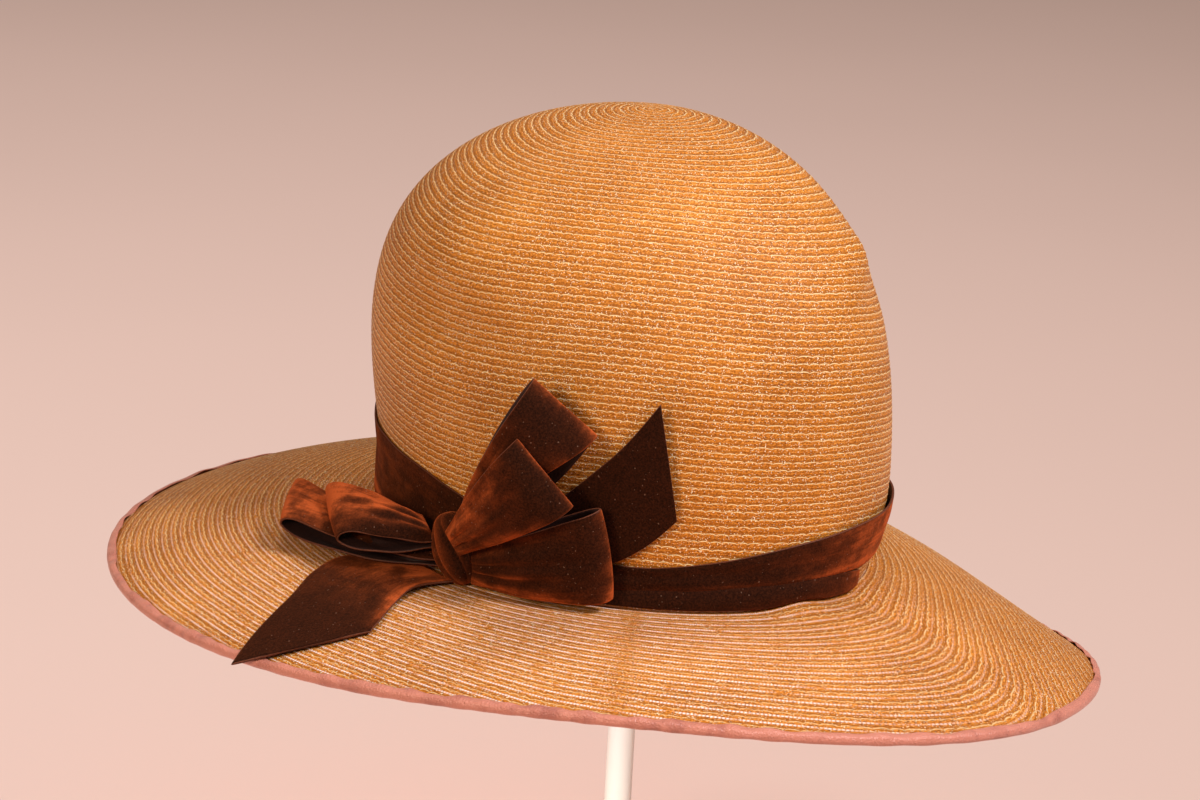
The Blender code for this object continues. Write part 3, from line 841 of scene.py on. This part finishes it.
bandTurns = table(  # shares of the ribbon's width, above the headline and off the crown
    ("turn", "low", "high", "standOff"),
    (
        (-180, 0.22, 0.75, 0.00), (-150, 0.20, 0.48, 0.00), (-120, 0.28, 0.62, 0.00),
        (-90, 0.27, 0.82, 0.03), (-60, 0.09, 0.74, 0.04), (-30, 0.06, 0.80, 0.01),
        (0, 0.06, 0.89, 0.00), (30, 0.07, 0.98, 0.00), (60, 0.09, 1.06, 0.00),
        (90, 0.12, 1.08, 0.00), (120, 0.17, 1.03, 0.00), (150, 0.16, 0.97, 0.00),
    ),
)

bandSoft = {
    "around": 360,
    "across": 18,
    "crease": 0.00022,
    "creases": 1.4,
    "creaseSway": 1.2,
    "ripple": 0.00015,
    "ripples": 19,
    "nap": 0.45,
    "sideTurn": 270,  # where the band turns away from the camera and painted sheen is added
    "sideWide": 15,
    "sidePaintedSheen": 1.15,
    "foldAt": 0.10,  # painted sheen along the fold at its low edge
    "foldWide": 0.07,
    "foldPaintedSheen": 1.3,
    "bowTurn": 190,  # painted shade of the bow, which takes away painted sheen
    "bowWide": 32,
    "bowPaintedShade": 0.33,
}

stripRows = (  # turn, share of the room filled, gap and belly as shares of the ribbon's width
    (-151, 1.00, 0.080, 0.000), (-136, 1.00, 0.080, 0.015), (-118, 1.00, 0.085, 0.030),
    (-104, 1.00, 0.085, 0.035), (-94, 0.95, 0.075, 0.020), (-88, 0.75, 0.060, 0.000),
)

loops = table(  # corners are turn, rise and gap; face is the side of the folded ribbon that shows
    ("name", "node", "root", "near", "far", "puff", "pinch", "spread", "round", "face", "ridge", "curl", "nap"),
    (
        ("bowLoopLeftBack", "loop_left_back", (-5.6, 0.185, 0.21), (-35.0, 0.20, 1.26), (-49.0, 0.32, 0.93),
         0.12, 0.42, 2.6, 0.86, -1, 0.050, 0.00, (1.6, 2.3, 2.8, 2.5, 2.2)),
        ("bowLoopLeftFront", "loop_left_front", (-8.6, 0.44, 0.27), (-18.8, 0.33, 1.04), (-35.5, 0.54, 0.76),
         0.13, 0.58, 2.8, 0.74, -1, 0.075, 0.04, (0.3, 0.9, 2.8, 3.6, 3.1)),
        ("bowLoopUpBack", "loop_up_back", (2.9, 0.59, 0.18), (36.9, 1.92, 0.28), (24.8, 2.48, 0.53),
         0.24, 0.44, 1.4, 0.76, 1, 0.050, 0.26, (2.8, 1.8, 1.4, 1.6, 2.4)),
        ("bowLoopUpFront", "loop_up_front", (3.4, 0.53, 0.43), (33.2, 1.27, 0.60), (22.8, 1.92, 0.70),
         0.13, 0.36, 1.3, 0.84, 1, 0.110, 0.00, (1.2, 0.6, 0.9, 2.2, 1.6)),
        ("bowLoopLowerRight", "loop_lower_right", (6.6, 0.25, 0.28), (41.0, 0.18, 0.22), (37.0, 1.17, 0.28),
         0.12, 0.36, 1.3, 0.88, 1, 0.070, 0.00, (2.8, 1.2, 0.6, 0.5, 1.5)),
    ),
)

tailRight = (  # low edge's turn, rise and gap, then the high edge's
    (24.0, 0.56, 0.075, 18.0, 0.84, 0.075), (31.0, 0.50, 0.075, 25.5, 1.10, 0.075),
    (38.5, 0.50, 0.075, 33.5, 1.42, 0.085), (46.0, 0.72, 0.085, 42.0, 1.80, 0.125),
    (52.8, 1.04, 0.100, 50.1, 2.28, 0.190),
)

tailLeft = (  # near edge's turn, reach and lift, then the far edge's
    (4.0, 0.38, 0.060, -8.0, 0.33, 0.060), (0.5, 0.74, 0.060, -18.0, 0.56, 0.050),
    (1.6, 1.08, 0.060, -22.5, 0.82, 0.045), (3.6, 1.40, 0.060, -20.5, 1.24, 0.045),
    (4.8, 1.63, 0.055, -15.0, 1.76, 0.050), (5.0, 1.68, 0.050, -7.7, 2.78, 0.080),
)

stripSoft = {
    "sections": 70,
    "across": 14,
    "edge": 0.05,
    "room": 0.0003,  # to the brim
    "lap": 0.0002,  # behind the band
    "leastHeight": 0.0001,
    "nap": 0.45,
    "endPaintedSheen": 1.4,
    "endWide": 0.10,
}

loopSoft = {
    "sections": 121,
    "across": 26,
    "room": 0.0006,  # between the two layers, at the knot
    "rise": 0.8,  # how soon a loop puffs up past the knot
    "gather": 0.0011,
    "gatherPower": 1.2,
    "pleats": 3.3,
    "ripple": 0.00035,
    "foldShine": 0.5,
    "foldWide": 0.05,
}

tailSoft = {
    "rightSections": 60,
    "rightAcross": 24,
    "rightPaintedSheen": 0.3,
    "leftSections": 90,
    "leftAcross": 28,
    "ridge": 0.0018,
    "ridgeWide": 0.16,
    "wave": 0.0005,
    "nap": 0.06,
    "knotPaintedSheen": 4.2,  # painted sheen beside the knot
    "knotWide": 0.36,
    "edgePaintedSheen": 4.5,  # painted highlight along the near edge
    "edgeWide": 0.08,
    "edgeAt": 0.35,
    "edgeLong": 0.28,
}


def bowPoint(turn, rise, gap):
    width = ribbon["width"]
    return besideCrown(ribbon["knotTurn"] + turn, np.asarray(rise) * width, np.asarray(gap) * width)


def makeVelvet(name, node, grid, held=None, rests="bowKnot", others=(), **ways):
    piece = makeRibbon(name, grid, ribbon["thickness"], velvetMaterials, **ways)
    return finishPiece(piece, node)


def makeBand(strip):
    soft = bandSoft
    turns = roundTurns(soft["around"])
    shares = edgeShares(soft["across"])
    low, high, off = (lookUp(bandTurns, key, turns)[:, None] * ribbon["width"] for key in ("low", "high", "standOff"))
    wave = np.radians(turns)[:, None]
    sway = soft["creaseSway"] * np.sin(3 * wave)
    crease = soft["crease"] * np.sin(2 * np.pi * soft["creases"] * shares + sway) * np.sin(np.pi * shares)
    ripple = soft["ripple"] * np.sin(soft["ripples"] * wave + 4 * shares)
    gap = ribbon["lap"] + stripSoft["lap"] + np.maximum(0, off) * shares + crease + ripple
    grid = besideCrown(turns[:, None], low + (high - low) * shares, gap)
    # painted sheen on the band: along its low fold and where it turns away, less in the bow's shade
    nap = soft["nap"] + soft["foldPaintedSheen"] * bell(shares - soft["foldAt"], soft["foldWide"])[None, :]
    nap = nap + soft["sidePaintedSheen"] * turnBell(turns, soft["sideTurn"], soft["sideWide"])[:, None]
    nap = nap - soft["bowPaintedShade"] * turnBell(turns, soft["bowTurn"], soft["bowWide"])[:, None]
    return makeVelvet("velvetBand", "band_upper", grid, "stretched", "strawCrown", [strip], around=True, nap=nap)


def makeLowerStrip():
    soft = stripSoft
    part = np.linspace(0, 1, soft["sections"])
    turn, fill, gap, belly = along(stripRows, part).T
    gap, belly = gap * ribbon["width"], belly * ribbon["width"]
    shares = edgeShares(soft["across"], soft["edge"])
    low = onBrim(turn, gap)[:, 2] - headline + 2 * soft["room"] + ribbon["thickness"]
    top = lookUp(bandTurns, "low", turn) * ribbon["width"] + soft["lap"]
    high = low + np.maximum(soft["leastHeight"], top - low) * fill
    out = gap[:, None] * (1 - shares) + ribbon["lap"] * shares + belly[:, None] * np.sin(np.pi * shares)
    grid = besideCrown(turn[:, None], low[:, None] + (high - low)[:, None] * shares, out)
    # painted sheen, stronger at the strip's end
    nap = soft["nap"] + soft["endPaintedSheen"] * bell(1 - part, soft["endWide"])[:, None]
    return makeVelvet("velvetLowerStrip", "band_lower", grid, nap=nap)


knot = {
    "aside": 1.0,
    "rise": 0.38,
    "gap": 0.27,
    "width": 0.0200,
    "height": 0.0275,
    "depth": 0.0140,
    "tilt": 24.0,
    "levels": 40,
    "steps": 120,
    "roundness": 0.38,
    "folds": 5,
    "foldPower": 0.6,
    "foldDepth": 0.16,
    "lobes": 0.05,
    "nap": 1.1,
}


def makeKnot():
    centre = bowPoint(knot["aside"], knot["rise"], knot["gap"])
    outward = planOutward(np.array(ribbon["knotTurn"]))
    aside = np.cross([0, 0, 1], outward)
    tilt = math.radians(knot["tilt"])
    length = np.array([0, 0, math.cos(tilt)]) - aside * math.sin(tilt)
    side = np.cross(outward, length)
    levels, steps = knot["levels"], knot["steps"]
    share = -np.cos(np.pi * np.arange(1, levels) / levels)[:, None]
    angle = 2 * np.pi * np.arange(steps)[None, :] / steps
    swell = (1 - share ** 2) ** knot["roundness"]
    twist = angle + 0.35 * share + 0.25 * np.sin(2 * angle)
    fold = np.abs(np.sin(knot["folds"] * twist)) ** knot["foldPower"]
    grow = 1 - knot["foldDepth"] * (1 - fold) + knot["lobes"] * np.sin(3 * angle + 4 * share)
    across = (knot["width"] / 2 * swell * grow * np.cos(angle))[..., None] * side
    front = (knot["depth"] / 2 * swell * grow * np.sin(angle))[..., None] * outward
    rings = centre + (share * knot["height"] / 2 + 0 * angle)[..., None] * length + across + front
    ends = [centre - length * knot["height"] / 2, centre + length * knot["height"] / 2]
    points = np.concatenate([rings.reshape(-1, 3), ends])
    faces = []
    last = (levels - 2) * steps
    for step in range(steps):
        after = (step + 1) % steps
        for level in range(levels - 2):
            here = level * steps
            faces.append((here + step, here + after, here + steps + after, here + steps + step))
        faces.append((len(points) - 2, after, step))
        faces.append((len(points) - 1, last + step, last + after))
    piece = makeMesh("bowKnot", points, faces, velvetMaterials[:1])
    # painted sheen, even all over the knot
    addValues(piece, "nap", np.full(len(points), knot["nap"]))
    return finishPiece(piece, "knot")


def makeLoop(row):
    # The ribbon leaves the knot, turns back in a round fold and returns, as two layers over each other
    soft, ribbonWidth = loopSoft, ribbon["width"]
    root, near, far = (np.array(row[key], float) for key in ("root", "near", "far"))
    middle = (bowPoint(*near) + bowPoint(*far)) / 2
    apart = np.cross(middle - bowPoint(*root), bowPoint(*far) - bowPoint(*near))
    apart /= np.linalg.norm(apart)
    travel = np.pi * np.linspace(-1, 1, soft["sections"])
    share = (1 + np.cos(travel))[:, None] / 2  # 0 at the knot and 1 at the fold
    layer = np.sign(travel)[:, None]
    shows = np.clip(layer * row["face"], 0, 1)  # 1 on the layer that shows
    nose = np.clip((share - row["round"]) / (1 - row["round"]), 0, 1)
    swell = np.sqrt(1 - nose ** 2) * np.sin(np.pi / 2 * np.clip(share / row["round"], 0, 1)) ** soft["rise"]
    height = layer * row["puff"] * ribbonWidth * swell * (0.5 + 0.5 * shows)
    height = height + np.copysign((ribbon["thickness"] / 2 + soft["room"]) * (1 - share) ** 0.5, travel[:, None])
    width = row["pinch"] + (1 - row["pinch"]) * (1 - (1 - share) ** row["spread"])
    shares = edgeShares(soft["across"])[None, :] - 0.5
    curl = row["curl"] * np.sin(np.pi * share) * (0.4 + 0.6 * share) * np.clip(0.5 - shares, 0, 1) ** 2
    part = shares * width + curl * (shows - 0.5 * (1 - shows))
    ridge = row["ridge"] * ribbonWidth * (np.cos(np.pi * shares) - 0.3) * np.sin(np.pi * share ** 0.7)
    wave = 2 * np.pi * shares
    gather = soft["gather"] * (1 - share) ** soft["gatherPower"] * np.clip(share * 8, 0, 1)
    gather = gather * np.cos(soft["pleats"] * wave + 1.2 * np.sin(wave) + 2.5 * share)
    ripple = np.sin(1.3 * wave + 7 * share + 40 * row["puff"]) + np.sin(2.1 * wave - 11 * share)
    ripple = soft["ripple"] * ripple * np.sin(np.pi * share)
    height = height + layer * (ridge * (0.3 + 0.7 * shows) + gather + ripple)
    place = root + ((near + far) / 2 - root) * share[..., None] + (far - near) * part[..., None]
    grid = bowPoint(*np.moveaxis(place, -1, 0)) + apart * height[..., None]
    # painted sheen across the ribbon, stronger near the fold
    nap = np.interp(shares, np.linspace(-0.5, 0.5, len(row["nap"])), row["nap"])
    nap = nap * (1 + soft["foldShine"] * bell(1 - share, soft["foldWide"]))
    return makeVelvet(row["name"], row["node"], grid, "folded", flip=True, nap=nap)


def tailGrid(rows, placing, sections, across):
    edges = along(rows, np.linspace(0, 1, sections))
    shares = edgeShares(across)[None, :, None]
    return placing(*np.moveaxis(edges[:, None, :3] * (1 - shares) + edges[:, None, 3:] * shares, -1, 0))


def brimPlace(turn, reach, lift):
    return onBrim(ribbon["knotTurn"] + turn, reach * ribbon["width"], lift * ribbon["width"])


def makeTailRight():
    grid = tailGrid(tailRight, bowPoint, tailSoft["rightSections"], tailSoft["rightAcross"])
    # painted sheen, low all over
    return makeVelvet("bowTailRight", "tail_right", grid, "hung", nap=tailSoft["rightPaintedSheen"])


def makeTailLeft():
    soft = tailSoft
    away, across = np.linspace(0, 1, soft["leftSections"])[:, None], edgeShares(soft["leftAcross"])[None, :]
    grid = tailGrid(tailLeft, brimPlace, soft["leftSections"], soft["leftAcross"])
    ridge = bell(across - 0.75 + 1.1 * away, soft["ridgeWide"]) * np.sin(np.pi * np.clip(away * 1.6, 0, 1))
    wave = np.sin(9 * away + 4 * across) * np.sin(np.pi * away)
    grid[..., 2] += soft["ridge"] * ridge + soft["wave"] * wave
    # painted sheen: a little all over, more beside the knot and along the near edge
    nap = soft["nap"] + soft["knotPaintedSheen"] * bell(away, soft["knotWide"]) * (0.30 + 0.70 * across)
    nap = nap + soft["edgePaintedSheen"] * bell(across, soft["edgeWide"]) * bell(away - soft["edgeAt"], soft["edgeLong"])
    return makeVelvet("bowTailLeft", "tail_left", grid, "laid", "strawBrim", flip=True, nap=nap)


makeBand(makeLowerStrip())
makeKnot()
for loopRow in loops:
    makeLoop(loopRow)
makeTailRight()
makeTailLeft()
print("velvet made")

stand = {"colour": (0.93, 0.92, 0.88), "speck": (0.88, 0.86, 0.80), "roughness": 0.34}
standNodes = [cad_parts[name] for name in ("stand_rod", "stand_pad", "stand_base")]


def paintStand():
    paint = Paint("paintedStand")
    brush = paint.noise(40, 3.0, 0.5, (1.0, 1.0, 0.08))
    paint.bump(paint.noise(420, 2.0), 0.0002, 0.25)
    material = paint.finish(**{
        "Base Color": paint.mix(paint.spread(brush, 0.35, 0.65), stand["speck"], stand["colour"]),
        "Roughness": stand["roughness"],
    })
    for node in standNodes:
        node.data.materials.clear()
        node.data.materials.append(material)


paintStand()
print("stand painted")

studio = {
    "target": (-0.0086, 0.0126, 0.2501),  # what the camera looks at
    "distance": 1.10,
    "turn": 55.62,
    "elevation": 18.378,
    "roll": 2.861,
    "lens": 85,
    "sensor": 36,
    "floorReach": 20,
    "floor": (0.80, 0.585, 0.515),
    "air": (1.0, 0.84, 0.72),
    "airStrength": 0.22,
}

studioLights = table(  # turn is to the right of the camera, and size is the side of a square
    ("name", "turn", "elevation", "distance", "size", "power", "colour", "lights"),
    (
        ("keyRight", 58, 49, 1.9, 0.45, 31.5, (1.0, 0.97, 1.0), "hat"),
        ("fillLeft", -32, 24, 2.0, 0.40, 15.5, (1.0, 0.86, 0.66), "hat"),
        ("topLamp", 180, 80, 1.9, 0.60, 8.5, (1.0, 0.93, 0.88), "hat"),
        ("floorLamp", -60, 78, 3.0, 1.20, 97, (1.0, 0.97, 0.96), "floor"),
        ("standLamp", -18, 2, 1.4, 0.40, 13, (1.0, 1.0, 1.0), "stand"),
    ),
)


def lightOnly(lamp, floor, lights):
    # The floor and the stand have lamps of their own, so that the hat's lamps leave no patches on the floor
    group = bpy.data.collections.new(lamp.name + "Reach")
    for item in standNodes if lights == "stand" else [floor]:
        group.objects.link(item)
    lamp.light_linking.receiver_collection = group
    for link in group.collection_objects:
        link.light_linking.link_state = "EXCLUDE" if lights == "hat" else "INCLUDE"
    if lights == "floor":
        shades = bpy.data.collections.new(lamp.name + "Shades")
        for item in standNodes:
            shades.objects.link(item)
        lamp.light_linking.blocker_collection = shades


def makeFloor():
    paint = Paint("paleFloor")
    shade = tuple(0.97 * part for part in studio["floor"])
    cloudy = paint.mix(paint.noise(3, 1.0), shade, studio["floor"])
    material = paint.finish(**{"Base Color": cloudy, "Roughness": 0.9, "Specular IOR Level": 0.1})
    reach = studio["floorReach"]
    corners = [(-reach, -reach, 0), (reach, -reach, 0), (reach, reach, 0), (-reach, reach, 0)]
    floor = makeMesh("floor", corners, [(0, 1, 2, 3)], [material])
    return floor


def makeStudio():
    turn, elevation, roll = (math.radians(studio[key]) for key in ("turn", "elevation", "roll"))
    ahead = Vector((math.sin(turn), math.cos(turn), 0))
    right = Vector((math.cos(turn), -math.sin(turn), 0))
    look = ahead * math.cos(elevation) - Vector((0, 0, math.sin(elevation)))
    up = right.cross(look)
    rolledRight = right * math.cos(roll) + up * math.sin(roll)
    rolledUp = up * math.cos(roll) - right * math.sin(roll)
    target = Vector(studio["target"])
    camera = bpy.data.objects.new("camera", bpy.data.cameras.new("camera"))
    bpy.context.scene.collection.objects.link(camera)
    camera.data.lens = studio["lens"]
    camera.data.sensor_width = studio["sensor"]
    turned = Matrix((rolledRight, rolledUp, -look)).transposed().to_4x4()
    camera.matrix_world = Matrix.Translation(target - look * studio["distance"]) @ turned
    bpy.context.scene.camera = camera
    bpy.context.scene.view_settings.view_transform = "Standard"
    floor = makeFloor()
    for row in studioLights:
        lamp = bpy.data.lights.new(row["name"], "AREA")
        lamp.size = row["size"]
        lamp.energy = row["power"]
        lamp.color = row["colour"]
        holder = bpy.data.objects.new(row["name"], lamp)
        bpy.context.scene.collection.objects.link(holder)
        aside, high = math.radians(row["turn"]), math.radians(row["elevation"])
        way = (right * math.sin(aside) - ahead * math.cos(aside)) * math.cos(high)
        way += Vector((0, 0, math.sin(high)))
        holder.location = target + way * row["distance"]
        holder.rotation_mode = "QUATERNION"
        holder.rotation_quaternion = (-way).to_track_quat("-Z", "Y")
        lightOnly(holder, floor, row["lights"])
    world = bpy.data.worlds.new("studioAir")
    world.use_nodes = True
    air = world.node_tree.nodes["Background"]
    air.inputs["Color"].default_value = (*studio["air"], 1.0)
    air.inputs["Strength"].default_value = studio["airStrength"]
    bpy.context.scene.world = world


makeStudio()
print("studio made")
